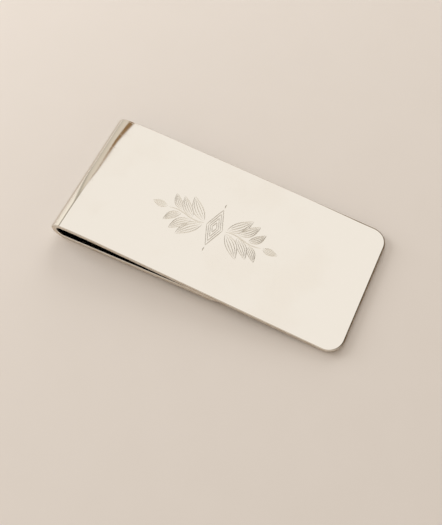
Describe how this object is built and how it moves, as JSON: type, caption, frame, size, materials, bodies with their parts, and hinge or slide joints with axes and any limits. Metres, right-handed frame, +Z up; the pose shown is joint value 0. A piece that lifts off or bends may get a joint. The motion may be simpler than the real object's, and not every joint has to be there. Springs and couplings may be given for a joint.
{
  "type": "money clip",
  "caption": "Folded metal money clip: a flat front plate with rounded corners, a full-width U-shaped fold and a shorter spring leaf that presses folded notes against the plate's back.",
  "frame": {"origin": "on the table under the middle of the clip's box, as the clip lies leaf down", "axes": "+X from the fold to the open end, +Y across the strip, +Z up out of the table"},
  "size_m": [0.0558, 0.0254, 0.0048],
  "materials": {
    "plate_silver": "mirror-polished silver plate with a fine engraved ornament and faint handling scratches",
    "fold_silver": "mirror-polished silver plate, rubbed slightly softer over the bend",
    "leaf_silver": "polished silver plate with rub marks along the slide of the notes"
  },
  "bodies": {
    "front": {"front_plate": "plate_silver", "fold_bend": "fold_silver"},
    "leaf": {"spring_leaf": "leaf_silver"}
  },
  "joints": [
    {"name": "fold_flex", "type": "hinge", "parent": "leaf", "child": "front", "pos_m": [-0.02556, 0, 0.00237], "axis": [0, -1, 0], "range_deg": [0, 8], "stiffness_Nm_per_rad": 1.5, "springref_deg": -2.86}
  ]
}
